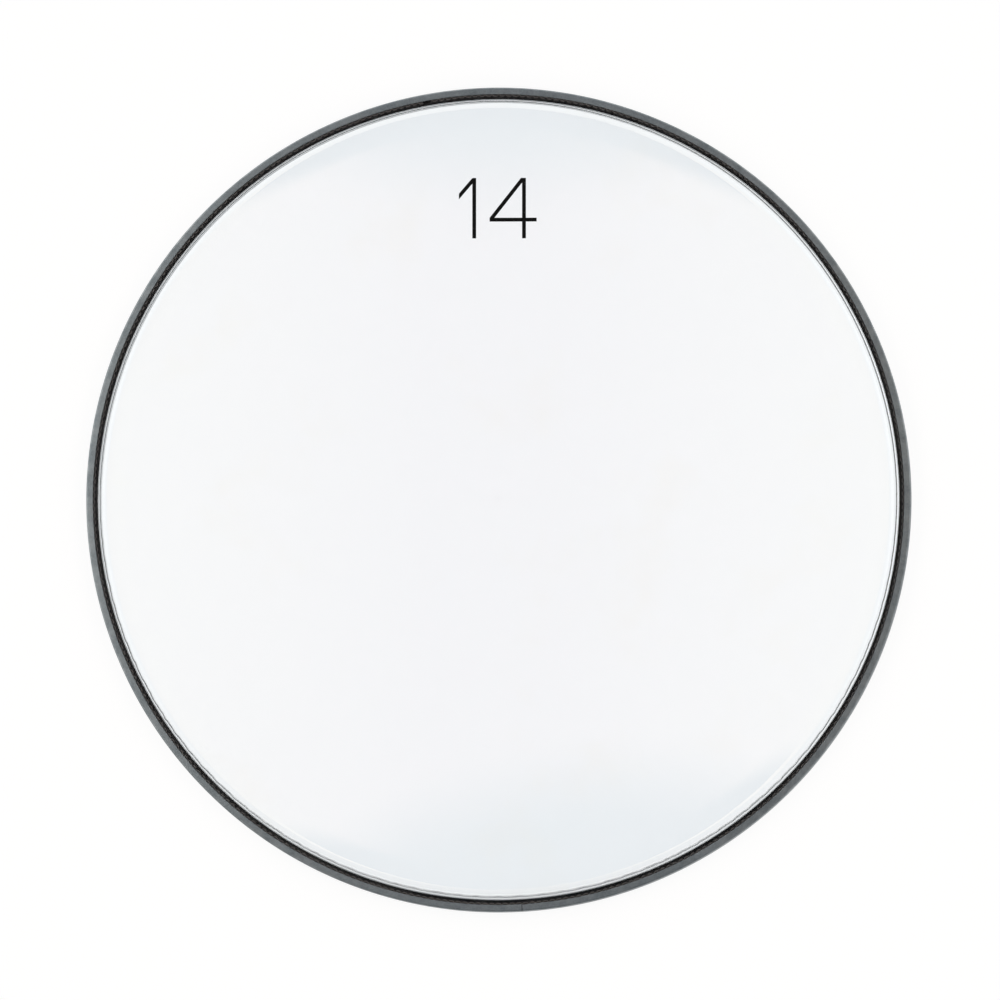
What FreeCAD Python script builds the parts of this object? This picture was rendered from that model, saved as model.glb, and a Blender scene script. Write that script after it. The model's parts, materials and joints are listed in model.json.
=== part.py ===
import FreeCAD, Part

import math
import os

import Sketcher

# A clear drum head of 14 inch nominal size. The origin is at the middle of the hoop's underside, with the playing
# surface facing +Z. Lengths are in millimetres and angles in degrees, counted from +X towards +Y.
SIZES = {
    "bore_diameter": 356.8,
    "inner_wall": 0.5,
    "inner_wall_height": 8.4,
    "groove_width": 3.7,
    "groove_mouth": 2.15,
    "outer_wall": 1.4,
    "hoop_height": 9.6,
    "hoop_floor": 1.3,
    "lip_thickness": 1.1,
    "hoop_corner_radius": 0.6,
    "hoop_edge_radius": 0.2,
    "seam_gap": 0.35,
    "seam_angle": 273.3,
    "splice_length": 40.0,
    "splice_thickness": 0.9,
    "splice_clearance": 0.1,
    "bed_cover": 0.35,
    "film_thickness": 0.25,
    "film_clearance": 0.05,
    "foot_clearance": 0.3,
    "foot_bend_radius": 0.4,
    "root_rise": 0.5,
    "root_bend_radius": 0.5,
    "neck_inset": 0.9,
    "neck_rise": 0.9,
    "neck_bend_radius": 0.8,
    "collar_rise": 7.7,
    "collar_lean": 0.8,
    "crease_bend_radius": 5.4,
    "bead_width": 0.8,
    "bead_height": 4.6,
    "ring_clearance": 0.1,
    "ring_end_gap": 3.6,
    "ring_end_angle": 100.2,
    "tooth_pitch": 3.0,
    "tooth_depth": 0.6,
    "tooth_gap_mouth": 1.4,
    "tooth_gap_root": 0.8,
}

doc = FreeCAD.newDocument("drum_head")
sheet = doc.addObject("Spreadsheet::Sheet", "Sizes")
for row, (alias, number) in enumerate(SIZES.items(), start=1):
    sheet.set(f"A{row}", alias)
    sheet.set(f"B{row}", str(number))
    sheet.setAlias(f"B{row}", alias)
doc.recompute()


def cell(alias):
    return f"Sizes.{alias}"


def value(expression):
    return float(sheet.evalExpression(expression))


def arc_degrees(length, radius):
    return f"({length} / {radius} * 180 / pi)"


# Radii of the section.
BORE_RADIUS = f"({cell('bore_diameter')} / 2)"
GROOVE_INNER = f"({BORE_RADIUS} + {cell('inner_wall')})"
SKIRT_INNER = f"({GROOVE_INNER} + {cell('film_clearance')})"
SKIRT_OUTER = f"({SKIRT_INNER} + {cell('film_thickness')})"
NECK_RADIUS = f"({SKIRT_OUTER} - {cell('neck_inset')})"
CREASE_RADIUS = f"({NECK_RADIUS} - {cell('collar_lean')})"
TOOTH_TIP_RADIUS = f"({SKIRT_OUTER} + {cell('bead_width')})"
LIP_RADIUS = f"({GROOVE_INNER} + {cell('groove_mouth')})"
GROOVE_OUTER = f"({GROOVE_INNER} + {cell('groove_width')})"
FOOT_RADIUS = f"({GROOVE_OUTER} - {cell('foot_clearance')})"
RING_RADIUS = f"({GROOVE_OUTER} - {cell('ring_clearance')})"
HOOP_RADIUS = f"({GROOVE_OUTER} + {cell('outer_wall')})"
SPLICE_INNER = f"({GROOVE_INNER} + {cell('splice_clearance')})"
SPLICE_OUTER = f"({GROOVE_OUTER} - {cell('splice_clearance')})"

# Heights of the section, from the channel's floor upwards.
SPLICE_TOP = f"({cell('hoop_floor')} + {cell('splice_thickness')})"
BED_TOP = f"({SPLICE_TOP} + {cell('bed_cover')})"
FOOT_TOP = f"({BED_TOP} + {cell('film_thickness')})"
BEAD_TOP = f"({FOOT_TOP} + {cell('bead_height')})"
LIP_UNDERSIDE = f"({cell('hoop_height')} - {cell('lip_thickness')})"
ROOT_HEIGHT = f"({cell('inner_wall_height')} + {cell('root_rise')})"
NECK_HEIGHT = f"({ROOT_HEIGHT} + {cell('neck_rise')})"
PLAYING_HEIGHT = f"({ROOT_HEIGHT} + {cell('collar_rise')})"
FILM_UNDERSIDE = f"({PLAYING_HEIGHT} - {cell('film_thickness')})"

SEAM_DEGREES = arc_degrees(cell("seam_gap"), HOOP_RADIUS)
SPLICE_DEGREES = arc_degrees(cell("splice_length"), GROOVE_INNER)


def new_body(label):
    body = doc.addObject("PartDesign::Body", label)
    body.Label = label
    return body


def turn_body(body, angle):
    body.Placement.Rotation = FreeCAD.Rotation(FreeCAD.Vector(0, 0, 1), value(angle))
    body.setExpression("Placement.Rotation.Angle", angle)


def new_sketch(body, name, role):
    sketch = body.newObject("Sketcher::SketchObject", name)
    plane = [feature for feature in body.Origin.OriginFeatures if feature.Role == role][0]
    sketch.AttachmentSupport = [(plane, "")]
    sketch.MapMode = "FlatFace"
    return sketch


def place(corner):
    across, up = corner
    return value(across), value(up)


def draw_lines(sketch, corners):
    points = [FreeCAD.Vector(*place(corner)) for corner in corners]
    lines = []
    for start, end in zip(points, points[1:] + points[:1]):
        lines.append(sketch.addGeometry(Part.LineSegment(start, end), False))
    for line, following in zip(lines, lines[1:] + lines[:1]):
        sketch.addConstraint(Sketcher.Constraint("Coincident", line, 2, following, 1))
    return lines


def bind(sketch, name, constraint, expression):
    index = sketch.addConstraint(constraint)
    sketch.renameConstraint(index, name)
    sketch.setExpression(f"Constraints.{name}", expression)


# Ties one end of a line to its two distances from the sketch's origin, or to the axis that it lies on.
def fix_point(sketch, line, end, corner):
    for kind, expression, axis in zip(("DistanceX", "DistanceY"), corner, (-2, -1)):
        if expression == "0":
            sketch.addConstraint(Sketcher.Constraint("PointOnObject", line, end, axis))
        else:
            constraint = Sketcher.Constraint(kind, -1, 1, line, end, value(expression))
            bind(sketch, f"{kind}_{line}_{end}", constraint, expression)


def section(body, name, corners, role="XZ_Plane"):
    sketch = new_sketch(body, name, role)
    for line, corner in zip(draw_lines(sketch, corners), corners):
        fix_point(sketch, line, 1, corner)
    return sketch


def revolve(body, kind, name, sketch, angle="360", midplane=False):
    feature = body.newObject(f"PartDesign::{kind}", name)
    feature.Profile = sketch
    feature.ReferenceAxis = (sketch, ["V_Axis"])
    feature.Midplane = midplane
    feature.setExpression("Angle", angle)
    doc.recompute()
    return feature


def cut_upwards(body, name, sketch):
    pocket = body.newObject("PartDesign::Pocket", name)
    pocket.Profile = sketch
    pocket.Type = "ThroughAll"
    pocket.Reversed = True
    doc.recompute()
    return pocket


def check_cut(before, after):
    if after.Shape.Volume >= before.Shape.Volume:
        raise RuntimeError(f"{after.Name} cut nothing")


# Rounds the circular edges that run through the given places of the section.
def round_rims(body, base, name, radius, places):
    match = 1e-4
    names = []
    for number, edge in enumerate(base.Shape.Edges, start=1):
        if isinstance(edge.Curve, Part.Circle):
            rim = (edge.Curve.Radius, edge.Curve.Center.z)
            if any(math.dist(rim, wanted) < match for wanted in places):
                names.append(f"Edge{number}")
    fillet = body.newObject("PartDesign::Fillet", name)
    fillet.Base = (base, names)
    fillet.setExpression("Radius", radius)
    doc.recompute()
    return fillet


# The channel is rolled into a ring whose two ends butt together at the seam. Its lip closes over the lock ring.
def make_hoop_channel():
    body = new_body("hoop_channel")
    corners = [
        (BORE_RADIUS, "0"),
        (HOOP_RADIUS, "0"),
        (HOOP_RADIUS, cell("hoop_height")),
        (LIP_RADIUS, cell("hoop_height")),
        (LIP_RADIUS, LIP_UNDERSIDE),
        (GROOVE_OUTER, LIP_UNDERSIDE),
        (GROOVE_OUTER, cell("hoop_floor")),
        (GROOVE_INNER, cell("hoop_floor")),
        (GROOVE_INNER, cell("inner_wall_height")),
        (BORE_RADIUS, cell("inner_wall_height")),
    ]
    sketch = section(body, "channel_section", corners)
    channel = revolve(body, "Revolution", "rolled_channel", sketch, f"360 - {SEAM_DEGREES}")
    bottom_inner, bottom_outer, top_outer, lip_edge, *_, wall_outer, wall_inner = map(place, corners)
    corner_rims = [bottom_outer, top_outer]
    channel = round_rims(body, channel, "outer_corners", cell("hoop_corner_radius"), corner_rims)
    edge_rims = [bottom_inner, lip_edge, wall_outer, wall_inner]
    round_rims(body, channel, "inner_edges", cell("hoop_edge_radius"), edge_rims)
    turn_body(body, f"{cell('seam_angle')} + {SEAM_DEGREES} / 2")
    return body


def splice_corners():
    return [
        (SPLICE_INNER, cell("hoop_floor")),
        (SPLICE_OUTER, cell("hoop_floor")),
        (SPLICE_OUTER, SPLICE_TOP),
        (SPLICE_INNER, SPLICE_TOP),
    ]


# A curved tongue on the channel's floor bridges the seam.
def make_hoop_splice():
    body = new_body("hoop_splice")
    sketch = section(body, "tongue_section", splice_corners())
    revolve(body, "Revolution", "tongue", sketch, SPLICE_DEGREES, midplane=True)
    turn_body(body, cell("seam_angle"))
    return body


# The bed fills the channel's floor up to the film's foot and is moulded round the splice.
def make_adhesive_bed():
    body = new_body("adhesive_bed")
    corners = [
        (GROOVE_INNER, cell("hoop_floor")),
        (GROOVE_OUTER, cell("hoop_floor")),
        (GROOVE_OUTER, BED_TOP),
        (GROOVE_INNER, BED_TOP),
    ]
    layer_sketch = section(body, "layer_section", corners, "YZ_Plane")
    layer = revolve(body, "Revolution", "layer", layer_sketch)
    recess_sketch = section(body, "recess_section", splice_corners())
    recess = revolve(body, "Groove", "splice_recess", recess_sketch, SPLICE_DEGREES, midplane=True)
    check_cut(layer, recess)
    turn_body(body, cell("seam_angle"))
    return body


# One film of even thickness: playing surface, crease, steep collar, flare over the inner wall, skirt in the groove
# and turned-out foot.
def make_drum_film():
    body = new_body("drum_film")
    upper_corners = [
        ("0", PLAYING_HEIGHT),
        (CREASE_RADIUS, PLAYING_HEIGHT),
        (NECK_RADIUS, NECK_HEIGHT),
        (SKIRT_OUTER, ROOT_HEIGHT),
        (SKIRT_OUTER, FOOT_TOP),
        (FOOT_RADIUS, FOOT_TOP),
    ]
    under_neck = (f"({NECK_RADIUS} - {cell('film_thickness')})", f"({NECK_HEIGHT} - {cell('film_thickness')} / 2)")
    lower_corners = [
        (FOOT_RADIUS, BED_TOP),
        (SKIRT_INNER, BED_TOP),
        (SKIRT_INNER, ROOT_HEIGHT),
        under_neck,
        (CREASE_RADIUS, FILM_UNDERSIDE),
        ("0", FILM_UNDERSIDE),
    ]
    sketch = new_sketch(body, "film_section", "XZ_Plane")
    lines = draw_lines(sketch, upper_corners + lower_corners)
    surface, collar, flare, skirt, foot, rim, *under_lines, _ = lines
    foot_under, skirt_under, flare_under, collar_under, surface_under = under_lines
    for line, corner in zip((surface, collar, flare, skirt, foot, rim), upper_corners):
        fix_point(sketch, line, 1, corner)
    fix_point(sketch, foot_under, 1, lower_corners[0])
    fix_point(sketch, skirt_under, 1, lower_corners[1])
    fix_point(sketch, surface_under, 2, lower_corners[-1])
    sketch.addConstraint(Sketcher.Constraint("Vertical", skirt_under))
    sketch.addConstraint(Sketcher.Constraint("Horizontal", surface_under))
    for name, outer, under in (("flare", flare, flare_under), ("collar", collar, collar_under)):
        sketch.addConstraint(Sketcher.Constraint("Parallel", outer, under))
        thickness = Sketcher.Constraint("Distance", under, 1, outer, value(cell("film_thickness")))
        bind(sketch, f"{name}_thickness", thickness, cell("film_thickness"))
    film = revolve(body, "Revolution", "formed_film", sketch)

    def start_of(line):
        return tuple(sketch.Geometry[line].StartPoint)[:2]

    bends = (
        ("crease", "crease_bend_radius", collar, surface_under),
        ("neck", "neck_bend_radius", collar_under, flare),
        ("root", "root_bend_radius", skirt, flare_under),
        ("foot", "foot_bend_radius", skirt_under, foot),
    )
    for name, radius, outside, inside in bends:
        film = round_rims(body, film, f"{name}_inside", cell(radius), [start_of(inside)])
        outside_radius = f"{cell(radius)} + {cell('film_thickness')}"
        film = round_rims(body, film, f"{name}_outside", outside_radius, [start_of(outside)])
    return body


# The bead seals the space between the film's skirt and the lock ring. Its lower edge clears the bend of the foot.
def make_sealing_bead():
    body = new_body("sealing_bead")
    past_bend = f"({SKIRT_OUTER} + {cell('foot_bend_radius')})"
    above_bend = f"({FOOT_TOP} + {cell('foot_bend_radius')})"
    corners = [
        (past_bend, FOOT_TOP),
        (TOOTH_TIP_RADIUS, FOOT_TOP),
        (TOOTH_TIP_RADIUS, BEAD_TOP),
        (SKIRT_OUTER, BEAD_TOP),
        (SKIRT_OUTER, above_bend),
    ]
    revolve(body, "Revolution", "bead", section(body, "bead_section", corners))
    return body


# The lock ring is toothed all round on its inner face and sawn through once.
def make_lock_ring():
    body = new_body("lock_ring")
    corners = [
        (TOOTH_TIP_RADIUS, FOOT_TOP),
        (RING_RADIUS, FOOT_TOP),
        (RING_RADIUS, LIP_UNDERSIDE),
        (TOOTH_TIP_RADIUS, LIP_UNDERSIDE),
    ]
    ring = revolve(body, "Revolution", "ring", section(body, "ring_section", corners))

    # The flanks of a tooth gap run on past the tips by the depth of a tooth, so that the gap opens cleanly.
    root_radius = f"({TOOTH_TIP_RADIUS} + {cell('tooth_depth')})"
    open_radius = f"({TOOTH_TIP_RADIUS} - {cell('tooth_depth')})"
    half_root = f"({cell('tooth_gap_root')} / 2)"
    half_open = f"({cell('tooth_gap_mouth')} - {half_root})"
    gap_corners = [
        (open_radius, f"-{half_open}"),
        (root_radius, f"-{half_root}"),
        (root_radius, half_root),
        (open_radius, half_open),
    ]
    gap_sketch = section(body, "tooth_gap_outline", gap_corners, "XY_Plane")
    gap = cut_upwards(body, "tooth_gap", gap_sketch)
    check_cut(ring, gap)
    teeth = body.newObject("PartDesign::PolarPattern", "teeth")
    teeth.Originals = [gap]
    teeth.Axis = (gap_sketch, ["N_Axis"])
    teeth.Angle = 360
    teeth.setExpression("Occurrences", f"floor(2 * pi * {TOOTH_TIP_RADIUS} / {cell('tooth_pitch')})")
    body.Tip = teeth
    doc.recompute()
    check_cut(gap, teeth)

    half_end_gap = f"({cell('ring_end_gap')} / 2)"
    past_ring = f"({RING_RADIUS} + {cell('tooth_depth')})"
    end_corners = [
        (open_radius, f"-{half_end_gap}"),
        (past_ring, f"-{half_end_gap}"),
        (past_ring, half_end_gap),
        (open_radius, half_end_gap),
    ]
    end_sketch = section(body, "end_gap_outline", end_corners, "XY_Plane")
    check_cut(teeth, cut_upwards(body, "end_gap", end_sketch))
    turn_body(body, cell("ring_end_angle"))
    return body


pieces = [
    make_hoop_channel(),
    make_hoop_splice(),
    make_adhesive_bed(),
    make_drum_film(),
    make_sealing_bead(),
    make_lock_ring(),
]
doc.recompute()

for item in doc.Objects:
    if "Invalid" in item.State or "Error" in item.State:
        raise RuntimeError(f"{item.Label} failed: {item.State}")
for piece in pieces:
    if piece.Shape.isNull() or not piece.Shape.isValid():
        raise RuntimeError(f"{piece.Label} has no valid shape")

os.makedirs("parts", exist_ok=True)
for piece in pieces:
    piece.Shape.exportStep(f"parts/{piece.Label}.step")
    print(f"{piece.Label}: {len(piece.Shape.Solids)} solid, {piece.Shape.Volume:.1f} cubic mm")
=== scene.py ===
import json
import math

import bmesh
import bpy
from mathutils import Matrix, Vector


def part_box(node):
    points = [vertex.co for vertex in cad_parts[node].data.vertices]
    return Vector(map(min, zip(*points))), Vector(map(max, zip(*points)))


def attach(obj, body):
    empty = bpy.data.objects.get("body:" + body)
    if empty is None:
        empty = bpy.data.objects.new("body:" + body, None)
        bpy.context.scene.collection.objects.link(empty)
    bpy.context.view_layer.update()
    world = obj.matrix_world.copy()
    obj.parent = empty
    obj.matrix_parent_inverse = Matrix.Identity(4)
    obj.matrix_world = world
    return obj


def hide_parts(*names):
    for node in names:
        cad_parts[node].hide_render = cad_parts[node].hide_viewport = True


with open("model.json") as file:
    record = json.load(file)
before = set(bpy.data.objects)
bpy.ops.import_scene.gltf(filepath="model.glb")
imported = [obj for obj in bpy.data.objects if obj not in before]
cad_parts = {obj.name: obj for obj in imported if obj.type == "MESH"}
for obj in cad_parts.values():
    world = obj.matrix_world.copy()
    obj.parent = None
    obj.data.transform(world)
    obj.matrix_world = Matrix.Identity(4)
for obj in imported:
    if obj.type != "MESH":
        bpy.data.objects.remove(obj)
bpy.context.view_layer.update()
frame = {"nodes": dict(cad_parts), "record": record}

mm = 0.001
mounts = {mount["name"]: mount for mount in frame["record"]["mounts"]}
hoopRadius = mounts["counterhoop_rim"]["dims"]["r_mm"] * mm
boreRadius = mounts["shell_bore"]["dims"]["r_mm"] * mm
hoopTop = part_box("hoop_channel")[1].z
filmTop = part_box("drum_film")[1].z
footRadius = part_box("drum_film")[1].x
ringLow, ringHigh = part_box("lock_ring")
beadLow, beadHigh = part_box("sealing_bead")
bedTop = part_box("adhesive_bed")[1].z
print("frame: hoop", round(hoopRadius / mm, 2), "mm radius, film at", round(filmTop / mm, 2), "mm")


# Nodes and trees

def addNode(tree, kind, links=None, **settings):
    node = tree.nodes.new(kind)
    for key, value in settings.items():
        setattr(node, key, value)
    for socket, value in (links or {}).items():
        if isinstance(value, bpy.types.NodeSocket):
            tree.links.new(value, node.inputs[socket])
        else:
            node.inputs[socket].default_value = value
    return node


def mathNode(tree, operation, first, second=0.0, third=0.0, clamp=False):
    links = {0: first, 1: second, 2: third}
    return addNode(tree, "ShaderNodeMath", links, operation=operation, use_clamp=clamp).outputs[0]


def mapRange(tree, value, low, high, toLow=0.0, toHigh=1.0, smooth=False):
    kind = "SMOOTHSTEP" if smooth else "LINEAR"
    links = {"Value": value, "From Min": low, "From Max": high, "To Min": toLow, "To Max": toHigh}
    return addNode(tree, "ShaderNodeMapRange", links, interpolation_type=kind).outputs[0]


def vectorNode(tree, operation, links, output=0):
    return addNode(tree, "ShaderNodeVectorMath", links, operation=operation).outputs[output]


def newTree(name, kind, inputs, outputs):
    tree = bpy.data.node_groups.new(name, kind)
    for label, socketKind, value in inputs:
        socket = tree.interface.new_socket(label, in_out="INPUT", socket_type="NodeSocket" + socketKind)
        if value is not None:
            socket.default_value = value
    for label, socketKind in outputs:
        tree.interface.new_socket(label, in_out="OUTPUT", socket_type="NodeSocket" + socketKind)
    return tree, addNode(tree, "NodeGroupInput").outputs, addNode(tree, "NodeGroupOutput").inputs


def endTree(tree, geometry, finish, out):
    real = addNode(tree, "GeometryNodeRealizeInstances", {"Geometry": geometry})
    done = addNode(tree, "GeometryNodeSetMaterial", {"Geometry": real.outputs[0], "Material": finish})
    tree.links.new(done.outputs[0], out["Geometry"])


levelAxes = (1, 1, 0)  # keeps x and y
weldDistance = 1e-6  # metres
stepTolerance = 0.1  # in steps along a sweep


# Moves points out from the head's axis by an amount.
def moveOutward(tree, geometry, place, amount):
    level = vectorNode(tree, "MULTIPLY", {0: place, 1: levelAxes})
    outward = vectorNode(tree, "NORMALIZE", {0: level})
    shift = vectorNode(tree, "SCALE", {0: outward, "Scale": amount})
    return addNode(tree, "GeometryNodeSetPosition", {"Geometry": geometry, "Offset": shift}).outputs[0]


def namedValue(tree, name, kind):
    return addNode(tree, "GeometryNodeInputNamedAttribute", {"Name": name}, data_type=kind).outputs[0]


# Sweeps a section round the head's axis. The section's x is the distance from the path and its y points down.
def makeRoundSweep():
    inputs = [("Geometry", "Geometry", None), ("Path Radius", "Float", 0.18), ("Steps", "Int", 720),
              ("Start Angle", "Float", 0.0), ("Sweep Angle", "Float", 6.0), ("Full Turn", "Bool", True),
              ("Finish", "Material", None)]
    tree, given, out = newTree("roundSweep", "GeometryNodeTree", inputs, [("Geometry", "Geometry")])
    circle = addNode(tree, "GeometryNodeCurvePrimitiveCircle",
                     {"Resolution": given["Steps"], "Radius": given["Path Radius"]})
    arc = addNode(tree, "GeometryNodeCurveArc",
                  {"Resolution": given["Steps"], "Radius": given["Path Radius"],
                   "Start Angle": given["Start Angle"], "Sweep Angle": given["Sweep Angle"]})
    path = addNode(tree, "GeometryNodeSwitch",
                   {"Switch": given["Full Turn"], "False": arc.outputs[0], "True": circle.outputs[0]},
                   input_type="GEOMETRY")
    upright = addNode(tree, "GeometryNodeSetCurveNormal", {"Curve": path.outputs[0]}, mode="Z_UP")
    step = addNode(tree, "GeometryNodeInputIndex")
    counted = addNode(tree, "GeometryNodeStoreNamedAttribute",
                      {"Geometry": upright.outputs[0], "Name": "stepAlong", "Value": step.outputs[0]},
                      data_type="INT", domain="POINT")
    section = addNode(tree, "GeometryNodeMeshToCurve", {"Mesh": given["Geometry"]})
    swept = addNode(tree, "GeometryNodeCurveToMesh",
                    {"Curve": counted.outputs[0], "Profile Curve": section.outputs[0], "Fill Caps": True})
    closed = addNode(tree, "GeometryNodeMergeByDistance",
                     {"Geometry": swept.outputs[0], "Distance": weldDistance})
    endTree(tree, closed.outputs[0], given["Finish"], out)
    return tree


# Cuts teeth into the points marked toothSide: the last steps of each pitch drop back from the axis.
def makeToothCut():
    inputs = [("Geometry", "Geometry", None), ("Steps Per Tooth", "Int", 8), ("Tip Steps", "Int", 4),
              ("Depth", "Float", 0.0006), ("Tip Rounding", "Float", 0.0001), ("Finish", "Material", None)]
    tree, given, out = newTree("toothCut", "GeometryNodeTree", inputs, [("Geometry", "Geometry")])
    step = namedValue(tree, "stepAlong", "INT")
    side = namedValue(tree, "toothSide", "FLOAT")
    phase = mathNode(tree, "MODULO", step, given["Steps Per Tooth"])
    inGap = mathNode(tree, "GREATER_THAN", phase, given["Tip Steps"])
    halfTip = mathNode(tree, "DIVIDE", given["Tip Steps"], 2)
    fromMiddle = mathNode(tree, "ABSOLUTE", mathNode(tree, "SUBTRACT", phase, halfTip))
    atEdge = mathNode(tree, "COMPARE", fromMiddle, halfTip, stepTolerance)
    drop = mathNode(tree, "ADD", mathNode(tree, "MULTIPLY", inGap, given["Depth"]),
                    mathNode(tree, "MULTIPLY", atEdge, given["Tip Rounding"]))
    drop = mathNode(tree, "MULTIPLY", drop, side)
    place = addNode(tree, "GeometryNodeInputPosition").outputs[0]
    endTree(tree, moveOutward(tree, given["Geometry"], place, drop), given["Finish"], out)
    return tree


# Puckers a band of film about a height: two wave counts round the axis that drift, strongest about one side.
def makeRootPucker():
    inputs = [("Geometry", "Geometry", None), ("Middle Height", "Float", 0.0125), ("Reach", "Float", 0.0035),
              ("Depth", "Float", 0.0001), ("Broad Waves", "Float", 116.0), ("Fine Waves", "Float", 236.0),
              ("Fine Share", "Float", 0.6), ("Drift Per Metre", "Float", 45.0), ("Drift", "Float", 9.0),
              ("Strong Side", "Float", 4.6), ("Fade Start", "Float", 0.75), ("Fade End", "Float", -0.1),
              ("Least Share", "Float", 0.25), ("Finish", "Material", None)]
    tree, given, out = newTree("rootPucker", "GeometryNodeTree", inputs, [("Geometry", "Geometry")])
    place = addNode(tree, "GeometryNodeInputPosition").outputs[0]
    axes = addNode(tree, "ShaderNodeSeparateXYZ", {0: place}).outputs
    angle = mathNode(tree, "ARCTAN2", axes["Y"], axes["X"])
    above = mathNode(tree, "ABSOLUTE", mathNode(tree, "SUBTRACT", axes["Z"], given["Middle Height"]))
    band = mapRange(tree, above, given["Reach"], 0.0, smooth=True)
    facing = mathNode(tree, "COSINE", mathNode(tree, "SUBTRACT", angle, given["Strong Side"]))
    share = mapRange(tree, facing, given["Fade End"], given["Fade Start"], given["Least Share"], 1.0,
                     smooth=True)
    noise = addNode(tree, "ShaderNodeTexNoise",
                    {"Vector": place, "Scale": given["Drift Per Metre"], "Detail": 1.0}).outputs[0]
    drift = mathNode(tree, "MULTIPLY", noise, given["Drift"])
    broad = mathNode(tree, "SINE", mathNode(tree, "MULTIPLY_ADD", angle, given["Broad Waves"], drift))
    fine = mathNode(tree, "SINE", mathNode(tree, "MULTIPLY_ADD", angle, given["Fine Waves"], drift))
    wave = mathNode(tree, "MULTIPLY_ADD", fine, given["Fine Share"], broad)
    size = mathNode(tree, "MULTIPLY", mathNode(tree, "MULTIPLY", band, share), given["Depth"])
    amount = mathNode(tree, "MULTIPLY", wave, size)
    endTree(tree, moveOutward(tree, given["Geometry"], place, amount), given["Finish"], out)
    return tree


# Lets the top of a poured bead sink here and there along its way.
def makeBeadRipple():
    inputs = [("Geometry", "Geometry", None), ("Depth", "Float", 0.0002), ("Waves Per Metre", "Float", 90.0),
              ("Still Height", "Float", 0.0028), ("Top Height", "Float", 0.0074),
              ("Finish", "Material", None)]
    tree, given, out = newTree("beadRipple", "GeometryNodeTree", inputs, [("Geometry", "Geometry")])
    place = addNode(tree, "GeometryNodeInputPosition").outputs[0]
    height = addNode(tree, "ShaderNodeSeparateXYZ", {0: place}).outputs["Z"]
    share = mapRange(tree, height, given["Still Height"], given["Top Height"])
    noise = addNode(tree, "ShaderNodeTexNoise",
                    {"Vector": place, "Scale": given["Waves Per Metre"], "Detail": 2.0}).outputs[0]
    sink = mathNode(tree, "MULTIPLY", mathNode(tree, "MULTIPLY", noise, share), given["Depth"])
    down = addNode(tree, "ShaderNodeCombineXYZ", {"Z": mathNode(tree, "MULTIPLY", sink, -1.0)}).outputs[0]
    moved = addNode(tree, "GeometryNodeSetPosition", {"Geometry": given["Geometry"], "Offset": down})
    endTree(tree, moved.outputs[0], given["Finish"], out)
    return tree


roundSweep = makeRoundSweep()
toothCut = makeToothCut()
rootPucker = makeRootPucker()
beadRipple = makeBeadRipple()


# Sections

# Rounds the corners (radius, height, bend, steps) of a line. Gives its points, each with a mark: 1 on a bend,
# 0.5 at the ends of a bend and 0 elsewhere.
def roundCorners(corners, closed):
    points = []
    count = len(corners)
    for index, (radius, height, bend, steps) in enumerate(corners):
        here = Vector((radius, height))
        isEnd = not closed and index in (0, count - 1)
        if isEnd or bend == 0:
            points.append((here, 0.0))
            continue
        before = Vector(corners[index - 1][:2])
        after = Vector(corners[(index + 1) % count][:2])
        comingIn = (here - before).normalized()
        goingOut = (after - here).normalized()
        turn = comingIn.angle_signed(goingOut)  # clockwise turns count as positive here
        leg = bend * math.tan(abs(turn) / 2)
        side = Vector((comingIn.y, -comingIn.x)) * math.copysign(bend, turn)
        start = here - comingIn * leg
        centre = start + side
        for step in range(steps + 1):
            swing = -turn * step / steps
            arm = start - centre
            spoke = Vector((arm.x * math.cos(swing) - arm.y * math.sin(swing),
                            arm.x * math.sin(swing) + arm.y * math.cos(swing)))
            points.append((centre + spoke, 1.0 if 0 < step < steps else 0.5))
    return points


# The corners of a line moved sideways by a distance, to the right of its direction.
def offsetCorners(corners, distance):
    lines = []
    for first, second in zip(corners, corners[1:]):
        along = (Vector(second[:2]) - Vector(first[:2])).normalized()
        right = Vector((along.y, -along.x))
        lines.append((Vector(first[:2]) + right * distance, along, right))
    moved = [lines[0][0]]
    for (start, along, _), (other, _, otherRight) in zip(lines, lines[1:]):
        reach = (other - start).dot(otherRight) / along.dot(otherRight)
        moved.append(start + along * reach)
    last = Vector(corners[-1][:2]) + lines[-1][2] * distance
    moved.append(last)
    return [(point.x, point.y) for point in moved]


def sectionObject(name, points, closed, pathRadius, **marks):
    mesh = bpy.data.meshes.new(name)
    places = [(point.x - pathRadius, -point.y, 0.0) for point, _ in points]
    edges = [(index, index + 1) for index in range(len(points) - 1)]
    if closed:
        edges.append((len(points) - 1, 0))
    mesh.from_pydata(places, edges, [])
    rim = mesh.attributes.new("rim", "FLOAT", "POINT")
    rim.data.foreach_set("value", [mark for _, mark in points])
    for label, isMarked in marks.items():
        marked = mesh.attributes.new(label, "FLOAT", "POINT")
        marked.data.foreach_set("value", [float(isMarked(point)) for point, _ in points])
    piece = bpy.data.objects.new(name, mesh)
    bpy.context.scene.collection.objects.link(piece)
    return piece


def runTree(piece, tree, values):
    modifier = piece.modifiers.new(tree.name, "NODES")
    modifier.node_group = tree
    sockets = {item.name: item.identifier for item in tree.interface.items_tree if item.in_out == "INPUT"}
    for label, value in values.items():
        modifier[sockets[label]] = value


# Makes what the modifiers give the piece's own mesh.
def freeze(piece):
    bpy.context.view_layer.update()
    made = piece.evaluated_get(bpy.context.evaluated_depsgraph_get())
    mesh = bpy.data.meshes.new_from_object(made)
    piece.modifiers.clear()
    old = piece.data
    piece.data = mesh
    bpy.data.meshes.remove(old)
    mesh.name = piece.name
    return mesh


def isEndFace(face):
    return len(face.vertices) > 4  # the sides of a sweep have four corners


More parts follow.
